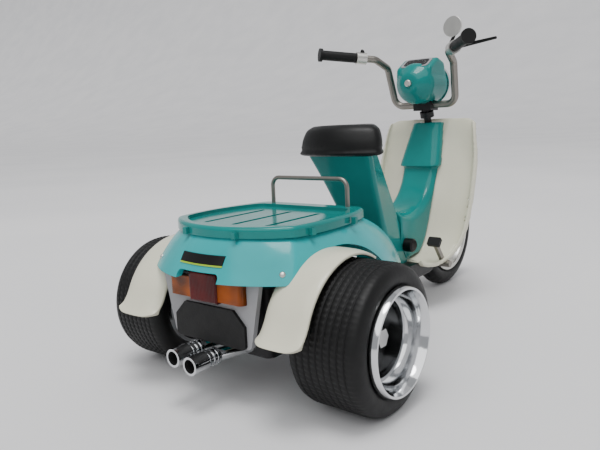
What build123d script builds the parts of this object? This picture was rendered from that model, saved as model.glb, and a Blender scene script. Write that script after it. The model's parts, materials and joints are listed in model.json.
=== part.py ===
from build123d import *
from math import atan2, cos, radians, sin
import os

# A three-wheeled scooter as a display model: two wide wheels under a moulded rear deck with a lidded boot,
# one narrow steered wheel in front, and a step-through middle with a saddle on a leaning column.
# Millimetres at the model's own size. +Z is up, the front points towards -Y and its right side is -X.
# The origin is on the ground under the middle of the whole outline.
# Places along the length are written as distances behind the rear axle, so those ahead of it are negative.

# Driving sizes of the running gear
wheelbase = 82.3
rear_radius = 13.0
front_radius = 16.4
exhaust_reach = 19.8
tyre_inner_x = 16.1
rear_tyre_width = 14.0
rear_bead_radius = 8.9
rim_lip_reach = 1.2
rim_lip_height = 0.5
dish_depth = 4.1
dish_step_radius = 6.8
hub_recess = 8.6
web_wall = 1.0
hub_boss_radius = 2.0
axle_radius = 1.0
running_gap = 0.05
side_gap = 0.3
front_tyre_width = 5.2
front_bead_radius = 12.0

# Where the rear axle lies, so that the origin is under the middle of the length
axle_y = (wheelbase + front_radius - exhaust_reach) / 2
front_axle_y = axle_y - wheelbase
tyre_outer_x = tyre_inner_x + rear_tyre_width
rear_hub_x = tyre_outer_x + rim_lip_reach - hub_recess


def behind(distance):
    """Place along the length, as a distance behind the rear axle."""
    return axle_y + distance


def across(x, distance, height):
    """Point of the model, with its length as a distance behind the rear axle."""
    return (x, behind(distance), height)


# Planes through the axles: local x runs across the model and local y is the radius
rear_wheel_plane = Plane(origin=(0, axle_y, rear_radius), x_dir=(1, 0, 0), z_dir=(0, -1, 0))
front_wheel_plane = Plane(origin=(0, front_axle_y, front_radius), x_dir=(1, 0, 0), z_dir=(0, -1, 0))
rear_axis = Axis((0, axle_y, rear_radius), (1, 0, 0))
front_axis = Axis((0, front_axle_y, front_radius), (1, 0, 0))

# Seen from the left side: local x points to the front and local y is the height
side_plane = Plane(origin=(0, axle_y, 0), x_dir=(0, -1, 0), z_dir=(-1, 0, 0))

os.makedirs("parts", exist_ok=True)


def save(piece, label):
    """Label a finished piece and write it as a file of its own."""
    piece.part.label = label
    export_step(piece.part, f"parts/{label}.step")


def mirrored(piece, label):
    """Write the other side's copy of a finished piece."""
    with BuildPart() as twin:
        add(piece.part)
        mirror(about=Plane.YZ, mode=Mode.REPLACE)
    save(twin, label)


# Rear wheels: a wide flat tyre, a deep dished rim and a dark centre on the axle
shoulder_drop = 1.3
shoulder_run = 1.5
bead_run = 1.0
rim_barrel_wall = 0.7

with BuildPart() as rear_tyre:
    with BuildSketch(rear_wheel_plane):
        with BuildLine():
            Polyline(
                (tyre_inner_x, rear_bead_radius),
                (tyre_inner_x, rear_radius - shoulder_drop),
                (tyre_inner_x + shoulder_run, rear_radius),
                (tyre_outer_x - shoulder_run, rear_radius),
                (tyre_outer_x, rear_radius - shoulder_drop),
                (tyre_outer_x, rear_bead_radius),
                close=True,
            )
        make_face()
    revolve(axis=rear_axis)
save(rear_tyre, "rear_tyre_left")
mirrored(rear_tyre, "rear_tyre_right")

with BuildPart() as rear_rim:
    with BuildSketch(rear_wheel_plane):
        with BuildLine():
            lip_x = tyre_outer_x + rim_lip_reach
            step_x = lip_x - dish_depth
            barrel = rear_bead_radius - rim_barrel_wall
            Polyline(
                (tyre_inner_x + bead_run, barrel),
                (tyre_inner_x + bead_run, rear_bead_radius),
                (tyre_outer_x, rear_bead_radius),
                (tyre_outer_x, rear_bead_radius + rim_lip_height),
                (lip_x - rim_lip_height, rear_bead_radius + rim_lip_height),
                (lip_x, rear_bead_radius + rim_lip_height / 2),
                (lip_x, rear_bead_radius - rim_lip_height / 4),
                (tyre_outer_x, barrel),
                (step_x + rim_barrel_wall, barrel - rim_barrel_wall / 2),
                (step_x, dish_step_radius + rim_barrel_wall),
                (step_x, dish_step_radius),
                (rear_hub_x, dish_step_radius - rim_lip_height),
                (rear_hub_x, hub_boss_radius),
                (rear_hub_x - web_wall, hub_boss_radius),
                (rear_hub_x - web_wall, dish_step_radius),
                (step_x - web_wall, barrel - rim_barrel_wall / 2),
                close=True,
            )
        make_face()
    revolve(axis=rear_axis)
save(rear_rim, "rear_rim_left")
mirrored(rear_rim, "rear_rim_right")

hub_disc_wall = 0.6
hub_length = 6.4
hub_face_x = rear_hub_x + hub_disc_wall
boss_out_x = rear_hub_x + hub_length / 2
boss_in_x = rear_hub_x - hub_length / 2
with BuildPart() as rear_hub:
    with BuildSketch(rear_wheel_plane):
        with BuildLine():
            Polyline(
                (boss_in_x, axle_radius + running_gap),
                (boss_in_x, hub_boss_radius),
                (rear_hub_x, hub_boss_radius),
                (rear_hub_x, dish_step_radius - rim_lip_height * 2),
                (hub_face_x, dish_step_radius - rim_lip_height * 2),
                (hub_face_x, hub_boss_radius + hub_disc_wall),
                (boss_out_x, hub_boss_radius),
                (boss_out_x, axle_radius + running_gap),
                close=True,
            )
        make_face()
    revolve(axis=rear_axis)
save(rear_hub, "rear_hub_left")
mirrored(rear_hub, "rear_hub_right")

# Rear axle with a nut outside each hub
nut_radius = 1.7
nut_height = 1.0
axle_half = boss_out_x + side_gap + nut_height
with BuildPart() as rear_axle:
    with BuildSketch(Plane.YZ.offset(-axle_half)):
        with Locations((axle_y, rear_radius)):
            Circle(axle_radius)
    extrude(amount=2 * axle_half)
    for nut_x in (-axle_half, axle_half - nut_height):
        with BuildSketch(Plane.YZ.offset(nut_x)):
            with Locations((axle_y, rear_radius)):
                RegularPolygon(nut_radius, 6)
        extrude(amount=nut_height)
save(rear_axle, "rear_axle")

# Engine block with the axle tube, plain because the deck hides it
engine_half = 8.0
engine_front = -17.0
engine_rear = 7.0
engine_floor = 7.5
engine_top = 20.5
axle_tube_radius = 2.4
tube_half = boss_in_x - side_gap
with BuildPart() as engine:
    with BuildSketch(Plane.XY.offset(engine_floor)) as engine_plan:
        with Locations((0, behind((engine_front + engine_rear) / 2))):
            Rectangle(2 * engine_half, engine_rear - engine_front)
        fillet(engine_plan.vertices(), 1.5)
    extrude(amount=engine_top - engine_floor)
    with BuildSketch(Plane.YZ.offset(-tube_half)):
        with Locations((axle_y, rear_radius)):
            Circle(axle_tube_radius)
    extrude(amount=2 * tube_half)
    with BuildSketch(Plane.YZ.offset(-tube_half)):
        with Locations((axle_y, rear_radius)):
            Circle(axle_radius)
    extrude(amount=2 * tube_half, mode=Mode.SUBTRACT)
save(engine, "engine_block")

# Mudguards: a crowned strip round each rear tyre, from ahead of its top to a straight foot behind it
guard_inner_x = 12.7
guard_outer_x = 22.2
guard_radius = 14.1
guard_wall = 0.5
guard_shift = 0.8
guard_lift = -0.3
guard_roll = 0.5
guard_edge_roll = 0.2
guard_round = 1.4
guard_sweep = 96.0
guard_low_angle = 25.0
guard_foot_length = 6.0
guard_centre = (0, behind(guard_shift), rear_radius + guard_lift)
guard_start = Plane(
    origin=guard_centre,
    x_dir=(1, 0, 0),
    z_dir=(0, -sin(radians(guard_low_angle)), cos(radians(guard_low_angle))),
)
with BuildPart() as mudguard:
    with BuildSketch(guard_start) as guard_section:
        with BuildLine():
            top = guard_radius + guard_wall
            Polyline(
                (guard_inner_x, guard_radius - 2 * guard_roll),
                (guard_inner_x + guard_round, guard_radius),
                (guard_outer_x - guard_round, guard_radius),
                (guard_outer_x, guard_radius - guard_edge_roll),
                (guard_outer_x, top - guard_roll),
                (guard_outer_x - guard_round, top),
                (guard_inner_x + guard_round, top),
                (guard_inner_x, top - 2 * guard_roll),
                close=True,
            )
        make_face()
    revolve(axis=Axis(guard_centre, (1, 0, 0)), revolution_arc=guard_sweep)
    extrude(guard_section.sketch, amount=-guard_foot_length)
save(mudguard, "mudguard_left")
mirrored(mudguard, "mudguard_right")

# Rear deck: a hollow moulded shell, open underneath, arched over the guards and bulging to the rear
deck_wall = 0.9
deck_top = 30.3
deck_waist = 26.6
deck_floor = 16.0
arch_top = 27.6
arch_middle = -3.0
arch_rear = 10.6
arch_front = -17.0
arch_front_height = 21.0
skirt_height = 23.3
nose_height = 17.4
notch_half = 5.0
notch_height = 24.8


def deck_outline(plane, nose_half, nose_y, side_half, side_y, tail_half, tail_y, rear_y, round_radius):
    """Plan of a deck piece: a straight nose, bowed sides and a bulging rear edge, with rounded corners."""
    with BuildSketch(plane) as outline:
        with BuildLine():
            right_nose = (-nose_half, behind(nose_y))
            left_nose = (nose_half, behind(nose_y))
            right_tail = (-tail_half, behind(tail_y))
            left_tail = (tail_half, behind(tail_y))
            Line(right_nose, left_nose)
            ThreePointArc(left_nose, (side_half, behind(side_y)), left_tail)
            ThreePointArc(left_tail, (0, behind(rear_y)), right_tail)
            ThreePointArc(right_tail, (-side_half, behind(side_y)), right_nose)
        make_face()
        fillet(outline.vertices(), round_radius)
    return outline.sketch


def deck_block(inset, lowered):
    """Solid of the deck, drawn in by a wall all round and lowered by it on top."""
    foot = deck_outline(Plane.XY.offset(deck_floor), 12.6 - inset, -34.2 + inset, 20.4 - inset, -4.0,
                        18.0 - inset, 14.4 - inset, 20.6 - inset, 2.4 - inset)
    waist = deck_outline(Plane.XY.offset(deck_waist - lowered), 11.9 - inset, -26.0 + inset, 17.6 - inset,
                         -5.0, 16.0 - inset, 9.0 - inset, 15.0 - inset, 2.4 - inset)
    roof = deck_outline(Plane.XY.offset(deck_top - lowered), 11.9 - inset, -18.0 + inset, 14.6 - inset,
                        -6.0, 13.8 - inset, 6.4 - inset, 12.4 - inset, 2.4 - inset)
    with BuildPart() as block:
        loft(sections=[foot, waist, roof])
    return block


deck_hollow = deck_block(deck_wall, deck_wall)
with BuildPart() as deck:
    add(deck_block(0, 0).part)
    add(deck_hollow.part, mode=Mode.SUBTRACT)
    with BuildSketch(side_plane) as deck_edge:
        with BuildLine():
            Line((-30, skirt_height), (-arch_rear - 1.0, skirt_height))
            Line((-arch_rear - 1.0, skirt_height), (-arch_rear, skirt_height + 0.5))
            ThreePointArc((-arch_rear, skirt_height + 0.5), (-arch_middle, arch_top),
                          (-arch_front, arch_front_height))
            Line((-arch_front, arch_front_height), (-arch_front + 5.0, nose_height + 1.2))
            Line((-arch_front + 5.0, nose_height + 1.2), (45, nose_height))
            Polyline((45, nose_height), (45, 0), (-30, 0), (-30, skirt_height))
        make_face()
    extrude(amount=40, both=True, mode=Mode.SUBTRACT)
    with BuildSketch(Plane.XZ.offset(-behind(engine_rear))) as notch:
        with Locations((0, notch_height / 2)):
            Rectangle(2 * notch_half, notch_height)
        fillet(notch.vertices().group_by(Axis.Y)[-1], 0.9)
    extrude(amount=-20, mode=Mode.SUBTRACT)
    add(mudguard.part, mode=Mode.SUBTRACT)
    add(mudguard.part.mirror(Plane.YZ), mode=Mode.SUBTRACT)
save(deck, "rear_deck")

# Boot lid: a rim round a recessed tray with three grooves, on top of the deck
lid_gap = 0.05
lid_foot = deck_top + lid_gap
lid_height = 1.9
lid_top = lid_foot + lid_height
tray_rim = 1.5
tray_depth = 0.7
groove_pitch = 7.1
groove_half = 0.55
groove_depth = 0.4
groove_front = -10.4
groove_rear = 6.6
with BuildPart() as lid:
    lid_plan = deck_outline(Plane.XY.offset(lid_foot), 12.9, -18.2, 15.6, -6.0, 14.8, 6.6, 12.9, 2.6)
    extrude(lid_plan, amount=lid_height)
    fillet(lid.faces().sort_by(Axis.Z)[-1].edges(), 0.7)
    tray_plan = deck_outline(Plane.XY.offset(lid_top), 12.9 - tray_rim, -14.6, 15.6 - tray_rim, -6.0,
                             14.8 - tray_rim, 6.6 - tray_rim, 12.9 - tray_rim, 2.0)
    extrude(tray_plan, amount=-tray_depth, mode=Mode.SUBTRACT)
    with BuildSketch(Plane.XY.offset(lid_top - tray_depth)):
        with Locations((0, behind((groove_front + groove_rear) / 2))):
            with GridLocations(groove_pitch, 1, 3, 1):
                SlotOverall(groove_rear - groove_front, 2 * groove_half, rotation=90)
    extrude(amount=-groove_depth, mode=Mode.SUBTRACT)
save(lid, "boot_lid")

# Grab rail: a bent rod on the lid's front lip
rail_half = 9.75
rail_y = -16.6
rail_radius = 0.45
rail_top = 37.8
rail_bend = 1.8
with BuildPart() as rail:
    with BuildLine() as rail_path:
        FilletPolyline(
            across(-rail_half, rail_y, lid_top),
            across(-rail_half, rail_y, rail_top),
            across(rail_half, rail_y, rail_top),
            across(rail_half, rail_y, lid_top),
            radius=rail_bend,
        )
    with BuildSketch(Plane(origin=across(-rail_half, rail_y, lid_top), z_dir=(0, 0, 1))):
        Circle(rail_radius)
    sweep()
save(rail, "grab_rail")

# Lid clips: small blocks round the lid's edge
clip_size = 0.9
clip_height = 1.2
clip_places = (
    (6.0, 12.35, 0),
    (15.75, 3.4, 80),
    (16.0, -9.4, 92),
)
with BuildPart() as clips:
    for clip_x, clip_y, turn in clip_places:
        for side in (1, -1):
            spot = Plane(
                origin=across(side * clip_x, clip_y, lid_foot),
                x_dir=(cos(radians(turn)), -side * sin(radians(turn)), 0),
                z_dir=(0, 0, 1),
            )
            with BuildSketch(spot):
                Rectangle(clip_size, clip_size)
            extrude(amount=clip_height)
    add(lid.part, mode=Mode.SUBTRACT)
save(clips, "lid_clips")

# Rear panel below the deck, with the mudflap and the lamp on it
panel_face = 13.4
panel_wall = 1.0
panel_top = 23.6
panel_foot = 11.5
panel_top_half = 12.0
panel_foot_half = 9.4
rear_facing = Plane(origin=(0, behind(panel_face), 0), x_dir=(1, 0, 0), z_dir=(0, -1, 0))
with BuildPart() as panel:
    with BuildSketch(rear_facing) as panel_shape:
        with BuildLine():
            Polyline(
                (-panel_foot_half, panel_foot),
                (panel_foot_half, panel_foot),
                (panel_top_half, panel_top),
                (-panel_top_half, panel_top),
                close=True,
            )
        make_face()
        fillet(panel_shape.vertices().group_by(Axis.Y)[0], 1.2)
    extrude(amount=panel_wall)
    add(deck.part, mode=Mode.SUBTRACT)
save(panel, "rear_panel")

flap_half = 8.6
flap_top = 18.2
flap_foot = 11.5
flap_wall = 0.6
flap_corner = 2.6
flap_plane = rear_facing.offset(-flap_wall)
with BuildPart() as flap:
    with BuildSketch(flap_plane) as flap_shape:
        with Locations((0, (flap_top + flap_foot) / 2)):
            Rectangle(2 * flap_half, flap_top - flap_foot)
        chamfer(flap_shape.vertices().group_by(Axis.Y)[-1], flap_corner)
        fillet(flap_shape.vertices().group_by(Axis.Y)[0], 0.8)
    extrude(amount=flap_wall)
save(flap, "mudflap")

lamp_foot = 19.1
lamp_top = 24.4
red_half = 3.4
red_depth = 1.6
amber_half = 9.0
amber_depth = 1.3
amber_foot = 19.5
amber_top = 23.2
with BuildPart() as red_lamp:
    with BuildSketch(Plane.XY.offset(lamp_foot)):
        with Locations((0, behind(panel_face + red_depth / 2))):
            Rectangle(2 * red_half, red_depth)
    extrude(amount=lamp_top - lamp_foot)
    fillet(red_lamp.edges().group_by(Axis.Y)[-1], 0.35)
save(red_lamp, "tail_lamp_red")

with BuildPart() as amber_lamps:
    with BuildSketch(Plane.XY.offset(amber_foot)) as amber_plan:
        with BuildLine():
            Polyline(
                (red_half, behind(panel_face)),
                (amber_half, behind(panel_face)),
                (amber_half, behind(panel_face + amber_depth)),
                (red_half, behind(panel_face + amber_depth)),
                close=True,
            )
        make_face()
        fillet(amber_plan.vertices().group_by(Axis.Y)[-1].sort_by(Axis.X)[-1], amber_depth * 0.8)
    extrude(amount=amber_top - amber_foot)
    mirror(about=Plane.YZ)
save(amber_lamps, "tail_lamp_ambers")

# Exhaust: two pipes from the engine, each with a wide open tip and ribs behind it
pipe_radius = 1.2
tip_radius = 1.65
tip_bore = 1.25
tip_length = 3.4
rib_count = 3
rib_pitch = 0.95
rib_width = 0.5
pipe_routes = (
    ((-0.8, exhaust_reach, 9.1), (-0.8, exhaust_reach - 6.0, 9.1), (-3.6, engine_rear - 1.0, 9.3)),
    ((3.4, exhaust_reach, 9.7), (3.4, exhaust_reach - 6.0, 9.7), (1.4, engine_rear - 1.0, 9.6)),
)
with BuildPart() as exhaust:
    for tip, bend, root in pipe_routes:
        with BuildLine() as pipe_path:
            FilletPolyline(across(*root), across(*bend), across(*tip), radius=6.0)
        with BuildSketch(Plane(origin=pipe_path.line @ 0, z_dir=pipe_path.line % 0)):
            Circle(pipe_radius)
        sweep(path=pipe_path.line)
        out = pipe_path.line % 1
        tip_end = Vector(*across(*tip))
        tip_plane = Plane(origin=tip_end - out * tip_length, z_dir=out)
        with BuildSketch(tip_plane):
            Circle(tip_radius)
        extrude(amount=tip_length)
        for number in range(rib_count):
            with BuildSketch(tip_plane.offset(-(number + 1) * rib_pitch)):
                Circle(tip_radius - 0.1)
            extrude(amount=rib_width)
        with BuildSketch(tip_plane.offset(tip_length)):
            Circle(tip_bore)
        extrude(amount=-tip_length + 0.6, mode=Mode.SUBTRACT)
    add(engine.part, mode=Mode.SUBTRACT)
save(exhaust, "exhaust_pipes")

# Footboard pan sizes, which the seat column and the pedal share
pan_half = 8.2
pan_floor = 9.2
pan_top = 13.4
pan_rear = -28.0
pan_front = -62.5
pan_neck_half = 4.0

# Seat column: leans forward towards its foot, with channels down its rear face
column_top = 41.6
column_foot = pan_top
column_neck = 26.0


def column_outline(height, rear_half, rear_y, front_half, front_y, round_radius):
    """Plan of the seat column at one height: wider at the rear than at the front."""
    with BuildSketch(Plane.XY.offset(height)) as outline:
        with BuildLine():
            Polyline(
                (-rear_half, behind(rear_y)),
                (rear_half, behind(rear_y)),
                (front_half, behind(front_y)),
                (-front_half, behind(front_y)),
                close=True,
            )
        make_face()
        fillet(outline.vertices(), round_radius)
    return outline.sketch


column_sections = [
    column_outline(column_foot, 5.6, -43.0, 4.6, -53.6, 1.2),
    column_outline(column_neck, 6.2, -36.6, 4.4, -47.0, 1.2),
    column_outline(column_top, 9.0, -27.6, 4.6, -37.4, 1.2),
]

# Saddle: a plain closed cushion over the column
seat_foot = column_top + 0.1
seat_lip = 43.3
seat_top = 48.2


def seat_outline(height, rear_half, rear_y, waist_y, nose_half, nose_y, round_radius):
    """Plan of the saddle at one height: a broad rounded rear that narrows to the nose."""
    with BuildSketch(Plane.XY.offset(height)) as outline:
        with BuildLine():
            Line((-nose_half, behind(nose_y)), (nose_half, behind(nose_y)))
            Line((nose_half, behind(nose_y)), (rear_half, behind(waist_y)))
            ThreePointArc((rear_half, behind(waist_y)), (0, behind(rear_y)), (-rear_half, behind(waist_y)))
            Line((-rear_half, behind(waist_y)), (-nose_half, behind(nose_y)))
        make_face()
        fillet(outline.vertices(), round_radius)
    return outline.sketch


seat_sections = [
    seat_outline(seat_foot, 10.6, -25.2, -28.4, 3.0, -40.6, 1.8),
    seat_outline(seat_lip, 10.8, -24.9, -28.6, 3.2, -41.2, 1.8),
    seat_outline(seat_top, 9.2, -26.6, -29.6, 2.8, -40.0, 1.8),
]
with BuildPart() as seat:
    loft(sections=seat_sections)
    chamfer(seat.faces().sort_by(Axis.Z)[-1].edges(), 0.9)
save(seat, "seat")

# Steering axis: through the neck above the shield and down to the front axle
neck_place = (0, behind(-72.3), 51.0)
rake = atan2(behind(-72.3) - front_axle_y, 51.0 - front_radius)
steer_up = (0, sin(rake), cos(rake))
steer_plane = Plane(origin=neck_place, x_dir=(1, 0, 0), z_dir=steer_up)
stem_radius = 1.0
stem_gap = 0.05

# Legshield: two hollow panels beside the tunnel that sweep forward to a turned rim and run down into the footboard
shield_wall = 0.8
rim_width = 0.8
tunnel_half = 5.2
shield_stations = (
    (-75.4, 49.2, 64, 12.9, 0.2, 0.3, 1.0),
    (-72.6, 43.4, 64, 14.0, 1.3, 0.5, 1.3),
    (-69.4, 36.6, 65, 14.5, 3.4, 0.4, 1.6),
    (-64.9, 26.6, 66, 14.3, 5.0, 0.2, 1.6),
    (-61.2, 18.6, 62, 13.2, 5.0, 0.2, 1.4),
    (-57.4, 14.6, 30, 11.4, 2.6, 0.1, 0.9),
    (-50.5, 13.9, 2, 9.2, 0.2, 0.1, 0.5),
)
shield_corner = 3.6
ridge_bevel = 1.3


def shield_section(distance, height, slope, half_width, sweep_forward, hollow, rim_rise):
    """Cross-section of the shield, square to its run: flat behind the tunnel, hollow beside it, rimmed."""
    run = (0, -cos(radians(slope)), sin(radians(slope)))
    with BuildSketch(Plane(origin=across(0, distance, height), x_dir=(1, 0, 0), z_dir=run)) as section:
        with BuildLine():
            inner = half_width - rim_width
            middle = (tunnel_half + inner) / 2
            dip = sweep_forward / 2 + hollow
            ThreePointArc((tunnel_half, 0), (middle, -dip), (inner, -sweep_forward))
            Polyline((inner, -sweep_forward), (inner, rim_rise - sweep_forward),
                     (half_width, rim_rise - sweep_forward), (half_width, -sweep_forward - shield_wall / 2))
            ThreePointArc((half_width, -sweep_forward - shield_wall / 2), (middle, -dip - shield_wall),
                          (tunnel_half, -shield_wall))
            Line((tunnel_half, -shield_wall), (0, -shield_wall))
            Line((0, 0), (tunnel_half, 0))
            mirror(about=Plane.YZ)
        make_face()
    return section.sketch


def ridge(half_width, points, crest):
    """Solid with a side profile of straight runs, whose rear edge dips in an arc where it is given."""
    with BuildPart() as block:
        with BuildSketch(side_plane):
            with BuildLine():
                Polyline(*points)
                if crest:
                    ThreePointArc(points[-1], crest, points[0])
                else:
                    Line(points[-1], points[0])
            make_face()
        extrude(amount=half_width, both=True)
        if crest:
            chamfer(block.edges().filter_by(GeomType.CIRCLE), ridge_bevel)
    return block.part


def cover_outline(height, half_width, rear_y, front_y):
    """Plan of the neck cover at one height, with bevelled rear corners."""
    with BuildSketch(Plane.XY.offset(height)) as outline:
        with Locations((0, behind((rear_y + front_y) / 2))):
            Rectangle(2 * half_width, rear_y - front_y)
        chamfer(outline.vertices().group_by(Axis.Y)[-1], ridge_bevel)
    return outline.sketch


shield_sections = [shield_section(*station) for station in shield_stations]
hood_half = 3.2
hood_points = ((74.0, 48.2), (76.2, 48.6), (80.3, 39.0), (70.0, 37.8))
stem_bore = Solid.make_cylinder(stem_radius + stem_gap, 40, steer_plane.offset(-25))
with BuildPart() as shield:
    loft(sections=shield_sections)
    with BuildSketch(Plane.XZ) as shield_front:
        with Locations((0, shield_stations[0][1] / 2)):
            Rectangle(4 * tyre_inner_x, shield_stations[0][1])
        chamfer(shield_front.vertices().group_by(Axis.Y)[-1], shield_corner)
    extrude(amount=2 * wheelbase, both=True, mode=Mode.INTERSECT)
    add(ridge(hood_half, hood_points, None))
    add(stem_bore, mode=Mode.SUBTRACT)
save(shield, "legshield")

with BuildPart() as column:
    loft(sections=column_sections)
    add(shield.part, mode=Mode.SUBTRACT)
save(column, "seat_column")

# Underframe: a dark pan from below the engine to the front of the footboard
with BuildPart() as pan_blank:
    with BuildSketch(Plane.XY.offset(pan_floor)) as pan_plan:
        with BuildLine():
            Polyline(
                (-pan_half, behind(pan_rear)),
                (-pan_half, behind(pan_front + 4.0)),
                (-pan_neck_half, behind(pan_front)),
                (pan_neck_half, behind(pan_front)),
                (pan_half, behind(pan_front + 4.0)),
                (pan_half, behind(pan_rear)),
                close=True,
            )
        make_face()
        fillet(pan_plan.vertices(), 1.0)
    extrude(amount=pan_top - pan_floor)
    chamfer(pan_blank.edges().group_by(Axis.Z)[0], 0.8)
    with BuildSketch(Plane.XY.offset(pan_floor)):
        with Locations((0, behind((pan_rear + engine_front) / 2))):
            Rectangle(2 * pan_neck_half, engine_front - pan_rear)
    extrude(amount=pan_top - pan_floor)
    add(shield.part, mode=Mode.SUBTRACT)
with BuildPart() as underframe:
    add(pan_blank.solids().sort_by(SortBy.VOLUME)[-1])
save(underframe, "underframe")

# Tunnel: the ridge from the seat column up behind the steering neck, wider where it covers the neck
tunnel_crest = 25.6
column_join = 47.4
tunnel_front = [(shield_wall / 2 - station[0], station[1]) for station in shield_stations[::-1]]
tunnel_rear = [(column_join, tunnel_crest + 1.2), (column_join, tunnel_front[0][1])]
tunnel_points = tunnel_rear + tunnel_front[1:-1] + [(67.4, 39.0)]
cover_stations = (
    (36.4, 5.9, -66.0, -69.8),
    (48.2, 4.2, -71.4, -75.2),
)
cover_sections = [cover_outline(*station) for station in cover_stations]
stem_room = Solid.make_cylinder(stem_radius + side_gap, 40, steer_plane.offset(-25))
with BuildPart() as ridge_blank:
    add(ridge(tunnel_half, tunnel_points, (59.6, tunnel_crest + 1.4)))
    loft(sections=cover_sections)
    add(shield.part, mode=Mode.SUBTRACT)
    add(column.part, mode=Mode.SUBTRACT)
    add(stem_room, mode=Mode.SUBTRACT)
with BuildPart() as tunnel:
    add(ridge_blank.solids().sort_by(SortBy.VOLUME)[-1])
save(tunnel, "tunnel")

# Black coupling knob on the right side of the tunnel's foot
coupling_radius = 1.7
coupling_reach = 1.6
with BuildPart() as coupling:
    with BuildSketch(Plane.YZ.offset(-6.0 - coupling_reach)):
        with Locations((behind(-49.5), 18.0)):
            Circle(coupling_radius)
    extrude(amount=coupling_reach + 3.0)
    chamfer(coupling.edges().sort_by(Axis.X)[0], 0.4)
    add(column.part, mode=Mode.SUBTRACT)
    add(tunnel.part, mode=Mode.SUBTRACT)
save(coupling, "coupling_knob")

# Steering: the stem, which turns in the hood, with the clamp that holds the handlebar
stem_low = -16.2
collar_radius = 1.9
collar_height = 1.6
clamp_half = 2.6
clamp_front = -74.0
clamp_rear = -69.4
clamp_foot = 51.4
clamp_top = 54.0
bar_radius = 0.95
bar_corners = (
    (20.6, -51.4, 67.1),
    (10.6, -63.0, 65.6),
    (9.7, -68.2, 63.4),
    (8.9, -71.3, 52.9),
)
bar_bends = (2.4, 2.0, 2.6)
bar_low = bar_corners[-1]
bar_run = Plane(origin=across(-clamp_half - 20, bar_low[1], bar_low[2]), z_dir=(1, 0, 0))
bar_points = [across(-x, y, z) for x, y, z in bar_corners] + [across(*corner) for corner in bar_corners[::-1]]
bar_hole = Solid.make_cylinder(bar_radius, 2 * clamp_half + 40, bar_run)
with BuildPart() as stem:
    with BuildSketch(steer_plane.offset(stem_low)):
        Circle(stem_radius)
    extrude(amount=-stem_low + 1.0)
    with BuildSketch(steer_plane.offset(-collar_height + 0.2)):
        Circle(collar_radius)
    extrude(amount=collar_height)
    with BuildSketch(Plane.XY.offset(clamp_foot)):
        with Locations((0, behind((clamp_front + clamp_rear) / 2))):
            Rectangle(2 * clamp_half, clamp_rear - clamp_front)
    extrude(amount=clamp_top - clamp_foot)
    chamfer(stem.edges().group_by(Axis.Z)[-1], 0.4)
    add(bar_hole, mode=Mode.SUBTRACT)
save(stem, "steering_stem")

with BuildPart() as handlebar:
    with BuildLine() as bar_path:
        FilletPolyline(*bar_points, radius=list(bar_bends) + list(bar_bends[::-1]))
    with BuildSketch(Plane(origin=bar_path.line @ 0, z_dir=bar_path.line % 0)):
        Circle(bar_radius)
    sweep(path=bar_path.line)
save(handlebar, "handlebar")

# Grips with an end flange, and the control housings inboard of them
grip_radius = 1.3
grip_length = 9.4
grip_flange_radius = 1.75
grip_flange = 0.8
control_radius = 1.6
control_length = 2.8
control_gap = 0.1


def bar_end(side):
    """Plane at a bar end, looking inboard along the bar."""
    outer = Vector(*across(side * bar_corners[0][0], *bar_corners[0][1:]))
    inner = Vector(*across(side * bar_corners[1][0], *bar_corners[1][1:]))
    return Plane(origin=outer, z_dir=inner - outer)


with BuildPart() as grips:
    for side in (1, -1):
        with BuildSketch(bar_end(side).offset(-0.4)):
            Circle(grip_flange_radius)
        extrude(amount=grip_flange)
        with BuildSketch(bar_end(side).offset(grip_flange - 0.4)):
            Circle(grip_radius)
        extrude(amount=grip_length)
    add(handlebar.part, mode=Mode.SUBTRACT)
save(grips, "grips")

with BuildPart() as controls:
    for side in (1, -1):
        with BuildSketch(bar_end(side).offset(grip_flange + grip_length - 0.4 + control_gap)):
            Circle(control_radius)
        extrude(amount=control_length)
    add(handlebar.part, mode=Mode.SUBTRACT)
save(controls, "control_housings")

# Brake lever on the right side, from its control housing out past the grip
lever_root = Vector(*across(-12.6, -62.9, 66.4))
lever_tip = Vector(*across(-24.0, -59.5, 67.1))
lever_wide = 0.55
with BuildPart() as lever:
    lever_plane = Plane(origin=lever_root, z_dir=lever_tip - lever_root)
    add(Solid.make_cone(lever_wide, lever_wide * 0.6, (lever_tip - lever_root).length, lever_plane))
    add(controls.part, mode=Mode.SUBTRACT)
save(lever, "brake_lever")

# Mirror: a round head on a bent stem that stands on the right control housing
mirror_radius = 2.6
mirror_depth = 0.9
mirror_place = across(-13.4, -58.9, 70.9)
mirror_look = (0.12, 1, 0.1)
mirror_foot = across(-11.6, -61.9, 67.2)
mirror_stem_radius = 0.4
mirror_plane = Plane(origin=mirror_place, z_dir=mirror_look)
with BuildPart() as mirror_head:
    with BuildSketch(mirror_plane):
        Circle(mirror_radius)
    extrude(amount=-mirror_depth, taper=25)
    fillet(mirror_head.edges().sort_by(SortBy.LENGTH)[-1], 0.15)
save(mirror_head, "mirror_head")

with BuildPart() as mirror_stem:
    back = Vector(*mirror_place) - Vector(*mirror_look).normalized() * mirror_depth
    foot_point = Vector(*mirror_foot)
    low_point = back - Vector(0, 0, mirror_radius * 0.8)
    with BuildLine() as stem_path:
        FilletPolyline(foot_point, low_point, back - Vector(0, 0, mirror_radius * 0.2), radius=0.6)
    with BuildSketch(Plane(origin=foot_point, z_dir=stem_path.line % 0)):
        Circle(mirror_stem_radius)
    sweep(path=stem_path.line)
    add(mirror_head.part, mode=Mode.SUBTRACT)
    add(controls.part, mode=Mode.SUBTRACT)
    add(handlebar.part, mode=Mode.SUBTRACT)
save(mirror_stem, "mirror_stem")

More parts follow.
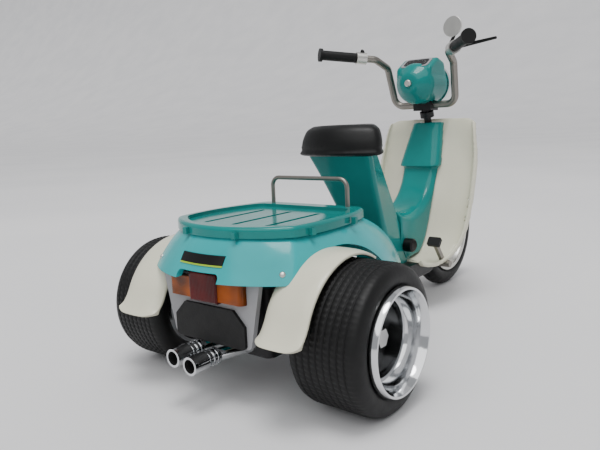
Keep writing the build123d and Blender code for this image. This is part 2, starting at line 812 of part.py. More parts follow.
# Lamp housing: a round bowl with the meter pod moulded on top of it
bowl_height = 58.5
bowl_radius = 5.4
bowl_rear = -61.9
lamp_face = -75.6
lamp_rim_width = 1.2
bowl_profile = (
    (-bowl_rear, 0),
    (-bowl_rear, 1.6),
    (-bowl_rear + 1.2, 3.7),
    (-bowl_rear + 4.0, bowl_radius),
    (-lamp_face - lamp_rim_width, bowl_radius),
    (-lamp_face - lamp_rim_width, 0),
)
bowl_axis = Axis((0, behind(bowl_rear), bowl_height), (0, -1, 0))
bowl_plane = Plane(origin=(0, axle_y, bowl_height), x_dir=(0, -1, 0), z_dir=(-1, 0, 0))
pod_half = 5.0
pod_points = ((64.2, 60.0), (64.4, 62.6), (69.2, 65.3), (73.2, 64.0), (74.2, 60.0))
with BuildPart() as housing:
    with BuildSketch(bowl_plane):
        with BuildLine():
            Polyline(bowl_profile[0], bowl_profile[1])
            Spline(bowl_profile[1], bowl_profile[2], bowl_profile[3], tangents=((0, 1), (1, 0)))
            Polyline(bowl_profile[3], bowl_profile[4], bowl_profile[5], bowl_profile[0])
        make_face()
    revolve(axis=bowl_axis)
    add(ridge(pod_half, pod_points, None))
    fillet(housing.edges().group_by(Axis.Z)[-1], 0.6)
    add(stem.part, mode=Mode.SUBTRACT)
    add(bar_hole, mode=Mode.SUBTRACT)
save(housing, "lamp_housing")

with BuildPart() as lamp_rim:
    with BuildSketch(Plane.XZ.offset(-behind(lamp_face + lamp_rim_width))):
        with Locations((0, bowl_height)):
            Circle(bowl_radius + 0.3)
            Circle(bowl_radius - 0.7, mode=Mode.SUBTRACT)
    extrude(amount=lamp_rim_width)
save(lamp_rim, "headlamp_rim")

with BuildPart() as lamp_glass:
    with BuildSketch(Plane.XZ.offset(-behind(lamp_face + lamp_rim_width))):
        with Locations((0, bowl_height)):
            Circle(bowl_radius - 0.7)
    extrude(amount=lamp_rim_width + 0.6, taper=30)
save(lamp_glass, "headlamp_glass")

knob_radius = 0.9
with BuildPart() as knob:
    with BuildSketch(Plane.XZ.offset(-behind(bowl_rear))):
        with Locations((0, bowl_height)):
            Circle(knob_radius)
    extrude(amount=-0.9)
    fillet(knob.edges().sort_by(Axis.Y)[-1], 0.3)
save(knob, "lamp_knob")

# Fork: a crown on the stem and two legs down to the front axle
fork_half = 5.3
leg_radius = 0.9
crown_thick = 1.6
crown_depth = 3.4
leg_reach = (Vector(*neck_place) - Vector(0, front_axle_y, front_radius)).length + stem_low
front_axle_radius = 0.8
crown_plane = steer_plane.offset(stem_low)
with BuildPart() as fork:
    with BuildSketch(crown_plane) as crown:
        SlotOverall(2 * fork_half + 2.4, crown_depth)
    extrude(amount=crown_thick)
    with BuildSketch(crown_plane):
        with Locations((fork_half, 0), (-fork_half, 0)):
            Circle(leg_radius)
    extrude(amount=-leg_reach)
    for side in (1, -1):
        with BuildSketch(Plane.YZ.offset(side * fork_half - leg_radius)):
            with Locations((front_axle_y, front_radius)):
                Circle(1.7)
        extrude(amount=2 * leg_radius)
    with BuildSketch(Plane.YZ.offset(-10)):
        with Locations((front_axle_y, front_radius)):
            Circle(front_axle_radius)
    extrude(amount=20, mode=Mode.SUBTRACT)
    add(stem.part, mode=Mode.SUBTRACT)
save(fork, "fork")

with BuildPart() as front_axle:
    with BuildSketch(Plane.YZ.offset(-fork_half - leg_radius - 0.6)):
        with Locations((front_axle_y, front_radius)):
            Circle(front_axle_radius)
    extrude(amount=2 * (fork_half + leg_radius + 0.6))
save(front_axle, "front_axle")

# Front fender: a deep crowned strip over the wheel, carried by the fork crown
fender_gap = 0.9
fender_wall = 0.5
fender_half = 3.7
fender_skirt = 3.2
fender_sweep = 150.0
fender_low_angle = 4.0
fender_radius = front_radius + fender_gap
fender_start = Plane(
    origin=(0, front_axle_y, front_radius),
    x_dir=(1, 0, 0),
    z_dir=(0, sin(radians(fender_low_angle)), cos(radians(fender_low_angle))),
)
with BuildPart() as fender:
    with BuildSketch(fender_start) as fender_section:
        with BuildLine():
            Polyline(
                (-fender_half, fender_radius - fender_skirt),
                (-fender_half, fender_radius + fender_wall),
                (fender_half, fender_radius + fender_wall),
                (fender_half, fender_radius - fender_skirt),
                (fender_half - fender_wall, fender_radius - fender_skirt),
                (fender_half - fender_wall, fender_radius),
                (-fender_half + fender_wall, fender_radius),
                (-fender_half + fender_wall, fender_radius - fender_skirt),
                close=True,
            )
        make_face()
        fillet(fender_section.vertices().group_by(Axis.Y)[-1], 1.6)
    revolve(axis=front_axis, revolution_arc=fender_sweep)
    add(fork.part, mode=Mode.SUBTRACT)
save(fender, "front_fender")

# Front wheel: a narrow tyre with leaning walls on a pressed disc rim with a hub
front_tread_half = 1.5
with BuildPart() as front_tyre:
    with BuildSketch(front_wheel_plane):
        with BuildLine():
            half = front_tyre_width / 2
            Polyline(
                (half, front_bead_radius),
                (front_tread_half, front_radius),
                (-front_tread_half, front_radius),
                (-half, front_bead_radius),
                close=True,
            )
        make_face()
    revolve(axis=front_axis)
save(front_tyre, "front_tyre")

front_rim_wall = 0.7
front_hub_radius = 2.6
front_hub_half = fork_half - leg_radius - side_gap
front_disc_half = 0.5
with BuildPart() as front_rim:
    with BuildSketch(front_wheel_plane):
        with BuildLine():
            half = front_tyre_width / 2
            rim_in = front_bead_radius - front_rim_wall
            Polyline(
                (half, front_bead_radius),
                (half, rim_in - 0.4),
                (half - 0.5, rim_in - 0.4),
                (front_disc_half, rim_in - 1.0),
                (front_disc_half, front_hub_radius + 1.4),
                (front_hub_half - 1.2, front_hub_radius),
                (front_hub_half, front_hub_radius - 0.8),
                (front_hub_half, front_axle_radius + running_gap),
                (-front_hub_half, front_axle_radius + running_gap),
                (-front_hub_half, front_hub_radius - 0.8),
                (-front_hub_half + 1.2, front_hub_radius),
                (-front_disc_half, front_hub_radius + 1.4),
                (-front_disc_half, rim_in - 1.0),
                (-half + 0.5, rim_in - 0.4),
                (-half, rim_in - 0.4),
                (-half, front_bead_radius),
                close=True,
            )
        make_face()
    revolve(axis=front_axis)
save(front_rim, "front_rim")

# Foot brake on the right of the footboard: a pad on a lever that turns on a cross pin
pedal_x = -10.6
pedal_pin = (-60.0, 11.6)
pedal_pad = (-54.8, 18.0)
pad_width = 3.4
pad_length = 2.4
pad_thick = 0.9
pin_radius = 0.9
pin_reach = 4.2
arm_width = 0.9
arm_half = 0.6
pad_slope = 50.0
pad_plane = Plane(
    origin=across(pedal_x, *pedal_pad),
    x_dir=(1, 0, 0),
    z_dir=(0, sin(radians(pad_slope)), cos(radians(pad_slope))),
)
with BuildPart() as pedal_lever:
    with BuildSketch(Plane.YZ.offset(-pan_half - pin_reach)):
        with Locations((behind(pedal_pin[0]), pedal_pin[1])):
            Circle(pin_radius)
    extrude(amount=pin_reach)
    pin_end = Vector(*across(pedal_x, *pedal_pin))
    pad_end = Vector(*across(pedal_x, *pedal_pad))
    arm_plane = Plane(origin=pin_end, x_dir=(1, 0, 0), z_dir=pad_end - pin_end)
    with BuildSketch(arm_plane):
        Rectangle(arm_width, 2 * arm_half)
    extrude(amount=(pad_end - pin_end).length)
    with BuildSketch(pad_plane):
        Rectangle(pad_width, pad_length)
    extrude(amount=pad_thick, mode=Mode.SUBTRACT)
    add(underframe.part, mode=Mode.SUBTRACT)
    add(shield.part, mode=Mode.SUBTRACT)
save(pedal_lever, "pedal_lever")

with BuildPart() as pedal_rubber:
    with BuildSketch(pad_plane) as pad_shape:
        Rectangle(pad_width, pad_length)
        fillet(pad_shape.vertices(), 0.4)
    extrude(amount=pad_thick)
save(pedal_rubber, "pedal_pad")
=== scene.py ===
import json
from math import cos, pi, radians, sin, tau

import bmesh
import bpy
from mathutils import Matrix, Vector
from mathutils.bvhtree import BVHTree


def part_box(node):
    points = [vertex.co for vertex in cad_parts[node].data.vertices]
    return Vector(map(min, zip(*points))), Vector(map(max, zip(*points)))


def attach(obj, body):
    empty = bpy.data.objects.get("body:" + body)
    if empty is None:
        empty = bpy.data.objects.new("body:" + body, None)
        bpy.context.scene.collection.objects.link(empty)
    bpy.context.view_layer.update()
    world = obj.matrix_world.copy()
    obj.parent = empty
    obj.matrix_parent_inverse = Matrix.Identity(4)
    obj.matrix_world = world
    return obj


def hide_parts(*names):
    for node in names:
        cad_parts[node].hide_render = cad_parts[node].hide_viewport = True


# The three-wheeled scooter model: finishes for the CAD pieces, and the finer pieces that ride on them.
# Metres, +Z up, the front towards -Y. MM turns a size in millimetres into metres.
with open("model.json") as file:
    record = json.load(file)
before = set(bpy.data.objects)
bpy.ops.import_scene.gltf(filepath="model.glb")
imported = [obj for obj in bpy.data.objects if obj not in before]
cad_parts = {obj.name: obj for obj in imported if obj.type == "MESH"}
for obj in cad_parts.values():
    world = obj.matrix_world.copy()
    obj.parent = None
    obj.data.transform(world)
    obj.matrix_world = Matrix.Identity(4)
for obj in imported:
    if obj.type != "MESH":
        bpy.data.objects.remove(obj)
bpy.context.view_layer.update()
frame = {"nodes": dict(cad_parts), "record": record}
nodes = frame["nodes"]
MM = 0.001
rear_low, rear_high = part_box("rear_tyre_left")
axle_y = (rear_low[1] + rear_high[1]) / 2
rear_height = (rear_low[2] + rear_high[2]) / 2 / MM

# Camera: where the photograph was taken from, seen from behind the right rear wheel
CAMERA_PLACE = (-76.4, 123.3, 48.8)
CAMERA_YAW = 141.8
CAMERA_PITCH = -9.4
CAMERA_ROLL = -2.4
PHOTO_WIDTH = 600
FOCAL_PIXELS = 601.5
SENSOR_WIDTH = 36.0


def add_camera():
    """Camera at the photograph's place and angle, its lens worked out from the focal length in pixels."""
    data = bpy.data.cameras.new("camera")
    data.sensor_width = SENSOR_WIDTH
    data.lens = FOCAL_PIXELS * data.sensor_width / PHOTO_WIDTH
    data.clip_start = 0.001
    camera = bpy.data.objects.new("camera", data)
    yaw, pitch, roll = radians(CAMERA_YAW), radians(CAMERA_PITCH), radians(CAMERA_ROLL)
    ahead = Vector((sin(yaw) * cos(pitch), cos(yaw) * cos(pitch), sin(pitch)))
    level_right = ahead.cross(Vector((0, 0, 1))).normalized()
    level_up = level_right.cross(ahead)
    right = level_right * cos(roll) + level_up * sin(roll)
    up = level_up * cos(roll) - level_right * sin(roll)
    turn = Matrix((right, up, -ahead)).transposed()
    camera.matrix_world = Matrix.Translation(Vector(CAMERA_PLACE) * MM) @ turn.to_4x4()
    bpy.context.collection.objects.link(camera)
    bpy.context.scene.camera = camera


# Materials


def new_material(name, color, roughness, metallic=0.0):
    """Material with one principled shader, and its node tree's parts for further wiring."""
    material = bpy.data.materials.new(name)
    material.use_nodes = True
    tree = material.node_tree
    shader = tree.nodes["Principled BSDF"]
    shader.inputs["Base Color"].default_value = (*color, 1.0)
    shader.inputs["Roughness"].default_value = roughness
    shader.inputs["Metallic"].default_value = metallic
    return material, tree, shader


def noise(tree, scale, detail=3.0):
    """Noise on the object's own coordinates, with its scale in features a metre."""
    place = tree.nodes.new("ShaderNodeTexCoord")
    texture = tree.nodes.new("ShaderNodeTexNoise")
    texture.inputs["Scale"].default_value = scale
    texture.inputs["Detail"].default_value = detail
    tree.links.new(place.outputs["Object"], texture.inputs["Vector"])
    return texture.outputs["Fac"]


def tint(tree, shader, factor, dark, light):
    """Base colour that drifts between two close tones."""
    ramp = tree.nodes.new("ShaderNodeValToRGB")
    ramp.color_ramp.elements[0].position = 0.3
    ramp.color_ramp.elements[0].color = (*dark, 1.0)
    ramp.color_ramp.elements[1].position = 0.7
    ramp.color_ramp.elements[1].color = (*light, 1.0)
    tree.links.new(factor, ramp.inputs["Fac"])
    tree.links.new(ramp.outputs["Color"], shader.inputs["Base Color"])


def rough_range(tree, shader, factor, low, high):
    """Roughness that drifts between two values."""
    span = tree.nodes.new("ShaderNodeMapRange")
    span.inputs["To Min"].default_value = low
    span.inputs["To Max"].default_value = high
    tree.links.new(factor, span.inputs["Value"])
    tree.links.new(span.outputs["Result"], shader.inputs["Roughness"])


def bump(tree, shader, height, distance, strength=1.0):
    """Fine relief from a height, with its depth in millimetres."""
    relief = tree.nodes.new("ShaderNodeBump")
    relief.inputs["Distance"].default_value = distance * MM
    relief.inputs["Strength"].default_value = strength
    tree.links.new(height, relief.inputs["Height"])
    tree.links.new(relief.outputs["Normal"], shader.inputs["Normal"])


def painted(name, color, gloss=0.18, depth=0.9):
    """Glossy moulded or painted plastic: a clear coat over a colour that drifts a little."""
    material, tree, shader = new_material(name, color, gloss)
    cloud = noise(tree, 90.0)
    dark = tuple(channel * depth for channel in color)
    light = tuple(min(1.0, channel * (2 - depth)) for channel in color)
    tint(tree, shader, cloud, dark, light)
    rough_range(tree, shader, noise(tree, 400.0), gloss * 0.8, gloss * 1.3)
    bump(tree, shader, noise(tree, 900.0, 2.0), 0.012)
    shader.inputs["Coat Weight"].default_value = 0.1
    shader.inputs["Specular IOR Level"].default_value = 0.24
    shader.inputs["Coat Roughness"].default_value = 0.06
    return material


def metal(name, color, roughness, grain=0.01):
    """Bare or plated metal with faint uneven polish."""
    material, tree, shader = new_material(name, color, roughness, 1.0)
    rough_range(tree, shader, noise(tree, 500.0), roughness * 0.7, roughness * 1.5)
    bump(tree, shader, noise(tree, 1500.0), grain)
    return material


def rubber(name, color, roughness=0.62, grain=0.03, scale=2600.0):
    """Matt rubber or soft plastic with a fine skin."""
    material, tree, shader = new_material(name, color, roughness)
    tint(tree, shader, noise(tree, 180.0), tuple(channel * 0.7 for channel in color),
         tuple(channel * 1.3 for channel in color))
    shader.inputs["Specular IOR Level"].default_value = 0.3
    rough_range(tree, shader, noise(tree, 700.0), roughness - 0.1, roughness + 0.12)
    bump(tree, shader, noise(tree, scale), grain)
    return material


def lens(name, color, ribs, depth):
    """Clear coloured lamp plastic with fine ribs moulded across it."""
    material, tree, shader = new_material(name, color, 0.12)
    shader.inputs["Transmission Weight"].default_value = 0.25
    shader.inputs["IOR"].default_value = 1.49
    place = tree.nodes.new("ShaderNodeTexCoord")
    wave = tree.nodes.new("ShaderNodeTexWave")
    wave.bands_direction = "X"
    wave.inputs["Scale"].default_value = ribs
    tree.links.new(place.outputs["Object"], wave.inputs["Vector"])
    bump(tree, shader, wave.outputs["Fac"], depth)
    tint(tree, shader, noise(tree, 260.0, 1.0), tuple(channel * 0.25 for channel in color), color)
    shader.inputs["Specular IOR Level"].default_value = 0.15
    return material


# Finishes, as linear colours: one for each slot of the record, then two that only the scene has
LIGHT_TURQUOISE = (0.018, 0.36, 0.375)
TEAL = (0.004, 0.2, 0.185)
CREAM = (0.7, 0.68, 0.54)

finishes = {
    "light_turquoise": painted("turquoise_plastic", LIGHT_TURQUOISE),
    "teal": painted("teal_plastic", TEAL, 0.14),
    "cream": painted("cream_plastic", CREAM, 0.2, 0.95),
    "grey": painted("grey_plastic", (0.3, 0.3, 0.31), 0.5),
    "black_rubber": rubber("black_rubber", (0.004, 0.004, 0.004), 0.5),
    "black_plastic": rubber("black_plastic", (0.003, 0.003, 0.003), 0.35, 0.01),
    "dark_grey": rubber("dark_metal_paint", (0.012, 0.012, 0.013), 0.42, 0.01),
    "warm_metal": metal("warm_grey_metal", (0.27, 0.25, 0.225), 0.38),
    "steel": metal("steel", (0.5, 0.5, 0.5), 0.3),
    "chrome": metal("chrome_plate", (0.66, 0.67, 0.68), 0.1, 0.002),
    "silver": metal("silver_paint", (0.62, 0.61, 0.58), 0.34),
    "lamp_red": lens("red_lens", (0.12, 0.001, 0.001), 900.0, 0.02),
    "lamp_amber": lens("amber_lens", (0.5, 0.1, 0.001), 1500.0, 0.03),
    "seat_black": rubber("seat_vinyl", (0.003, 0.003, 0.003), 0.42, 0.02, 1800.0),
    "tyre": rubber("tyre_rubber", (0.004, 0.004, 0.0041), 0.5, 0.02, 2200.0),
}


def glass_material():
    """Clear lamp glass."""
    material, tree, shader = new_material("clear_glass", (0.95, 0.97, 0.97), 0.04)
    shader.inputs["Transmission Weight"].default_value = 0.85
    shader.inputs["IOR"].default_value = 1.5
    bump(tree, shader, noise(tree, 600.0), 0.01)
    return material


finishes["lens"] = glass_material()
finishes["badge_green"] = painted("badge_green", (0.32, 0.5, 0.03), 0.3)
# Near-black matt finish of the tubes inside the exhaust tips: painted shade for the inside of the pipes.
finishes["pipe_shade_black"] = rubber("pipe_shade_black", (0.002, 0.002, 0.002), 0.9)


def dress_nodes():
    """Give every CAD piece the finish of its slot. The lid's clips are moulded in the lid's own colour."""
    slot_of = {part["node"]: part["material_slot"] for part in frame["record"]["subparts"]}
    slot_of["lid_clips"] = "teal"
    for name, piece in nodes.items():
        for place in piece.material_slots:
            place.material = finishes[slot_of[name]]


# Pieces


def finish_mesh(mesh, name, finish, body, smooth=True):
    """Object from a bmesh, with its finish, riding on a body."""
    data = bpy.data.meshes.new(name)
    bmesh.ops.recalc_face_normals(mesh, faces=mesh.faces)
    mesh.to_mesh(data)
    mesh.free()
    for face in data.polygons:
        face.use_smooth = smooth
    piece = bpy.data.objects.new(name, data)
    bpy.context.collection.objects.link(piece)
    data.materials.append(finishes[finish])
    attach(piece, body)
    return piece


REAR_TYRE_STEPS = 240
REAR_GROOVES = 8
GROOVE_DEPTH = 0.26
GROOVE_WIDTH = 0.28
SIPE_DEPTH = 0.16
SIPE_EVERY = 3
REAR_SHOULDER = 1.7
REAR_BEAD = 8.92
LIP_WIDTH = 0.12
LIP_DROP = 0.1


def ring_surface(mesh, centre, profile, steps, lowered):
    """Closed ring turned round the x axis.

    The profile is a list of (x, radius) pairs, and lowered(step, x, radius) is the depth of a cut there.
    """
    rows = []
    for step in range(steps):
        angle = tau * step / steps
        row = []
        for x, radius in profile:
            cut = radius - lowered(step, x, radius)
            row.append(mesh.verts.new((x, centre.y + cut * cos(angle), centre.z + cut * sin(angle))))
        rows.append(row)
    for step in range(steps):
        ring, following = rows[step], rows[(step + 1) % steps]
        for place in range(len(profile)):
            after = (place + 1) % len(profile)
            mesh.faces.new((ring[place], ring[after], following[after], following[place]))


def rear_tyre_profile(low_x, high_x, bead, radius):
    """Section of the wide tyre: beads, bulging walls, rounded shoulders and a tread cut by grooves."""
    shoulder = REAR_SHOULDER * MM
    points = [(low_x + 1.0 * MM, bead),
              (low_x + 0.3 * MM, bead + 0.5 * MM),
              (low_x + 0.02 * MM, bead + 1.3 * MM),
              (low_x + 0.1 * MM, bead + 2.3 * MM),
              (low_x + 0.5 * MM, radius - 0.75 * MM),
              (low_x + 1.0 * MM, radius - 0.3 * MM)]
    tread_low, tread_high = low_x + shoulder, high_x - shoulder
    pitch = (tread_high - tread_low) / REAR_GROOVES
    half = GROOVE_WIDTH * MM / 2
    for groove in range(REAR_GROOVES):
        middle = tread_low + pitch * (groove + 0.5)
        points += [(middle - half - LIP_WIDTH * MM, radius),
                   (middle - half, radius - LIP_DROP * MM),
                   (middle - half * 0.7, radius - GROOVE_DEPTH * MM),
                   (middle + half * 0.7, radius - GROOVE_DEPTH * MM),
                   (middle + half, radius - LIP_DROP * MM),
                   (middle + half + LIP_WIDTH * MM, radius)]
        if groove < REAR_GROOVES - 1:
            points.append((middle + pitch / 2, radius))
    mirror_side = [(low_x + high_x - x, height) for x, height in points[5::-1]]
    return points + mirror_side


def add_rear_tyre(side, name):
    """Wide tyre with ribs round it and small cross cuts in the ribs."""
    low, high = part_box(name)
    centre = (Vector(low) + Vector(high)) / 2
    radius = (high[2] - low[2]) / 2
    profile = rear_tyre_profile(low[0], high[0], REAR_BEAD * MM, radius)

    def lowered(step, x, height):
        """Cross cut at regular steps, in the tread ribs only."""
        across = min(x - low[0], high[0] - x)
        cut = step % SIPE_EVERY == 0 and height > radius - 0.05 * MM and across > 1.5 * MM
        return SIPE_DEPTH * MM if cut else 0.0

    mesh = bmesh.new()
    ring_surface(mesh, centre, profile, REAR_TYRE_STEPS, lowered)
    piece = finish_mesh(mesh, f"{name}_tread", "tyre", f"rear_wheel_{side}")
    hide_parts(name)


FRONT_TYRE_STEPS = 160
FRONT_BEAD = 12.02
FRONT_BEAD_HEIGHT = 1.2
FRONT_POINTS = 25
FRONT_GROOVES = (7, 13, 19)
FRONT_GROOVE_DEPTH = 0.22
FRONT_SIPE_DEPTH = 0.14
FRONT_SIPE_EVERY = 4


def add_front_tyre():
    """Narrow tyre with a rounded tread cut by three grooves."""
    low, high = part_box("front_tyre")
    centre = (Vector(low) + Vector(high)) / 2
    radius = (high[2] - low[2]) / 2
    half = (high[0] - low[0]) / 2
    bead = FRONT_BEAD * MM
    wall = FRONT_BEAD_HEIGHT * MM
    profile = []
    for place in range(FRONT_POINTS):
        angle = pi * (place / (FRONT_POINTS - 1.0))
        profile.append((-half * cos(angle), bead + wall + (radius - bead - wall) * sin(angle) ** 0.8))
    profile = [(-half + 0.5 * MM, bead)] + profile + [(half - 0.5 * MM, bead)]

    def lowered(step, x, height):
        """Three grooves round the tread, with cross cuts between them."""
        for groove in FRONT_GROOVES:
            if abs(x - profile[groove][0]) < 0.05 * MM:
                return FRONT_GROOVE_DEPTH * MM
        cut = step % FRONT_SIPE_EVERY == 0 and abs(x) < half * 0.85 and height > radius - 1.6 * MM
        return FRONT_SIPE_DEPTH * MM if cut else 0.0

    mesh = bmesh.new()
    ring_surface(mesh, centre, profile, FRONT_TYRE_STEPS, lowered)
    piece = finish_mesh(mesh, "front_tyre_tread", "tyre", "front_wheel")
    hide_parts("front_tyre")


def softened(node, name, finish, body, voxel, rounds):
    """Copy of a CAD piece with its corners rounded: remeshed in small cells, then smoothed."""
    piece = bpy.data.objects.new(name, nodes[node].data.copy())
    piece.matrix_world = nodes[node].matrix_world.copy()
    bpy.context.collection.objects.link(piece)
    remesh = piece.modifiers.new("remesh", "REMESH")
    remesh.mode = "VOXEL"
    remesh.voxel_size = voxel * MM
    smooth = piece.modifiers.new("smooth", "SMOOTH")
    smooth.iterations = rounds
    smooth.factor = 0.5
    bpy.context.view_layer.update()
    graph = bpy.context.evaluated_depsgraph_get()
    shaped = bpy.data.meshes.new_from_object(piece.evaluated_get(graph))
    piece.modifiers.clear()
    piece.data = shaped
    for face in shaped.polygons:
        face.use_smooth = True
    shaped.materials.clear()
    shaped.materials.append(finishes[finish])
    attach(piece, body)
    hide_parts(node)
    return piece


SHIELD_CORNER = 4.0
CORNER_DEPTH = 2.5


def round_shield_corners(piece):
    """Bend the leg shield's upper corners down into an arc."""
    spots = piece.data.vertices
    top = max(vertex.co.z for vertex in spots)
    reach = SHIELD_CORNER * MM
    half = max(abs(vertex.co.x) for vertex in spots if vertex.co.z > top - reach)
    for vertex in spots:
        near_top = (vertex.co.z - (top - CORNER_DEPTH * reach)) / (CORNER_DEPTH * reach)
        across = min(1.0, max(0.0, (abs(vertex.co.x) - (half - reach)) / reach))
        if near_top > 0:
            vertex.co.z -= (reach - reach * (1 - across ** 2) ** 0.5) * near_top


STEM_CLEAR = 1.14


def clear_stem(piece):
    """Keep a piece's neck hole open round the steering stem, whose axis is that of the steering joint."""
    joints = {entry["name"]: entry for entry in frame["record"]["behaviour"]["joints"]}
    joint = joints["steering_turn"]
    start, axis = Vector(joint["pos_m"]), Vector(joint["axis"]).normalized()
    for vertex in piece.data.vertices:
        reach = vertex.co - start
        sideways = reach - axis * reach.dot(axis)
        if 0 < sideways.length < STEM_CLEAR * MM:
            vertex.co += sideways.normalized() * (STEM_CLEAR * MM - sideways.length)


WELD_REACH = 0.002
SHARP_ANGLE = 32


def smooth_copy(node, finish, body):
    """Copy of a CAD piece whose curved faces shade smoothly between their sharp edges."""
    mesh = bmesh.new()
    mesh.from_mesh(nodes[node].data)
    mesh.transform(nodes[node].matrix_world)
    bmesh.ops.remove_doubles(mesh, verts=mesh.verts, dist=WELD_REACH * MM)
    for edge in mesh.edges:
        edge.smooth = len(edge.link_faces) == 2 and edge.calc_face_angle(0.0) < radians(SHARP_ANGLE)
    piece = finish_mesh(mesh, f"{node}_polished", finish, body)
    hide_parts(node)


SEAT_CROWN = 0.35
SEAT_SWELL = 0.35
SEAT_LIP = 0.6
SEAT_WELT = 0.12


def add_seat():
    """Saddle: a vinyl cover, crowned on top, with a flared lip and a welt round its foot."""
    piece = softened("seat", "saddle_cushion", "seat_black", "chassis", 0.45, 9)
    low, high = (Vector(corner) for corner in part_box("seat"))
    middle = (low + high) / 2
    for vertex in piece.data.vertices:
        level = (vertex.co.z - low.z) / (high.z - low.z)
        side = (vertex.co.x - middle.x) / (high.x - middle.x)
        outward = Vector((vertex.co.x - middle.x, vertex.co.y - middle.y, 0)).normalized()
        if level > 0.6:
            vertex.co.z += SEAT_CROWN * MM * (1 - side ** 2) * (level - 0.6) / 0.4
        lip = max(0.0, 1 - abs(level - 0.08) / 0.1)
        welt = max(0.0, 1 - abs(level - 0.3) / 0.035)
        vertex.co += outward * (SEAT_SWELL + SEAT_LIP * lip + SEAT_WELT * welt) * MM


GUARD_LIFT = -0.3
GUARD_SHIFT = 0.8
GUARD_RADIUS = 15.0
GUARD_WALL = 0.5
GUARD_INNER_X = 12.7
GUARD_OUTER_X = 22.2
GUARD_FRONT = 121.0
GUARD_BEND = 25.0
GUARD_FOOT = 4.2
GUARD_COLUMNS = 17
GUARD_ARC_STEPS = 40
GUARD_FOOT_STEPS = 12
GUARD_FLARE = 0.9
GUARD_ROLL_INSIDE = 1.5
GUARD_ROLL_OUTSIDE = 0.5
FOOT_ROUND = 1.1
HEM_START = 0.8
HEM_SWELL = 0.35


def guard_path():
    """Side line of a mudguard, from front to foot: (place, outward direction, how far down the foot)."""
    centre = Vector((0, axle_y + GUARD_SHIFT * MM, (rear_height + GUARD_LIFT) * MM))
    line = []
    for step in range(GUARD_ARC_STEPS + 1):
        angle = radians(GUARD_FRONT + (GUARD_BEND - GUARD_FRONT) * step / GUARD_ARC_STEPS)
        outward = Vector((0, cos(angle), sin(angle)))
        line.append((centre + outward * GUARD_RADIUS * MM, outward, 0.0))
    bend, outward, _ = line[-1]
    downward = Vector((0, outward.z, -outward.y))
    for step in range(1, GUARD_FOOT_STEPS + 1):
        part = step / GUARD_FOOT_STEPS
        flare = GUARD_FLARE * part ** 2.5
        line.append((bend + (downward * GUARD_FOOT * part + outward * flare) * MM, outward, part))
    return line


def add_mudguard(side, sign):
    """Mudguard: a crowned shell with rolled edges that flares into a thick rounded hem at its foot."""
    mesh = bmesh.new()
    middle = (GUARD_INNER_X + GUARD_OUTER_X) / 2
    half = (GUARD_OUTER_X - GUARD_INNER_X) / 2
    outer_rows = []
    inner_rows = []
    for place, outward, foot in guard_path():
        outer = []
        inner = []
        hem = HEM_SWELL * max(0.0, foot - HEM_START) / (1 - HEM_START)
        downward = Vector((0, outward.z, -outward.y))
        for column in range(GUARD_COLUMNS):
            across = 2 * column / (GUARD_COLUMNS - 1) - 1
            roll = (GUARD_ROLL_INSIDE if across < 0 else GUARD_ROLL_OUTSIDE) * abs(across) ** 4
            drop = FOOT_ROUND * foot * (1 - across ** 4)
            spot = place + (downward * drop - outward * roll) * MM
            spot.x = sign * (middle + across * half) * MM
            outer.append(mesh.verts.new(spot + outward * hem * MM))
            inner.append(mesh.verts.new(spot - outward * (GUARD_WALL + hem) * MM))
        outer_rows.append(outer)
        inner_rows.append(inner)
    for row in range(len(outer_rows) - 1):
        for column in range(GUARD_COLUMNS - 1):
            for grid in (outer_rows, inner_rows):
                mesh.faces.new((grid[row][column], grid[row][column + 1],
                                grid[row + 1][column + 1], grid[row + 1][column]))
        for column in (0, -1):
            mesh.faces.new((outer_rows[row][column], outer_rows[row + 1][column],
                            inner_rows[row + 1][column], inner_rows[row][column]))
    for row in (0, -1):
        for column in range(GUARD_COLUMNS - 1):
            mesh.faces.new((outer_rows[row][column], inner_rows[row][column],
                            inner_rows[row][column + 1], outer_rows[row][column + 1]))
    piece = finish_mesh(mesh, f"mudguard_shell_{side}", "cream", "chassis")
    bevel = piece.modifiers.new("edge", "BEVEL")
    bevel.width = 0.12 * MM
    bevel.segments = 2
    bevel.limit_method = "ANGLE"
    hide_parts(f"mudguard_{side}")


def node_tree(name):
    """Search tree of a CAD piece's surface, in the row frame."""
    data = nodes[name].data
    corners = [nodes[name].matrix_world @ vertex.co for vertex in data.vertices]
    return BVHTree.FromPolygons(corners, [tuple(face.vertices) for face in data.polygons])


def add_laid_plate(name, finish, tree, x_range, z_range, proud, columns):
    """Thin plate laid on the deck's rear face, which it follows from side to side."""
    mesh = bmesh.new()
    front = []
    back = []
    for column in range(columns + 1):
        x = x_range[0] + (x_range[1] - x_range[0]) * column / columns
        for z in z_range:
            hit = tree.ray_cast(Vector((x * MM, 0.2, z * MM)), Vector((0, -1, 0)))[0]
            front.append(mesh.verts.new(hit + Vector((0, proud * MM, 0))))
            back.append(mesh.verts.new(hit - Vector((0, 0.1 * MM, 0))))
    for column in range(columns):
        low, high, next_low, next_high = (2 * column + step for step in range(4))
        mesh.faces.new((front[low], front[next_low], front[next_high], front[high]))
        mesh.faces.new((back[low], back[high], back[next_high], back[next_low]))
        mesh.faces.new((front[low], back[low], back[next_low], front[next_low]))
        mesh.faces.new((front[high], front[next_high], back[next_high], back[high]))
    for end in (0, 2 * columns):
        mesh.faces.new((front[end], front[end + 1], back[end + 1], back[end]))
    return finish_mesh(mesh, name, finish, "chassis", smooth=False)


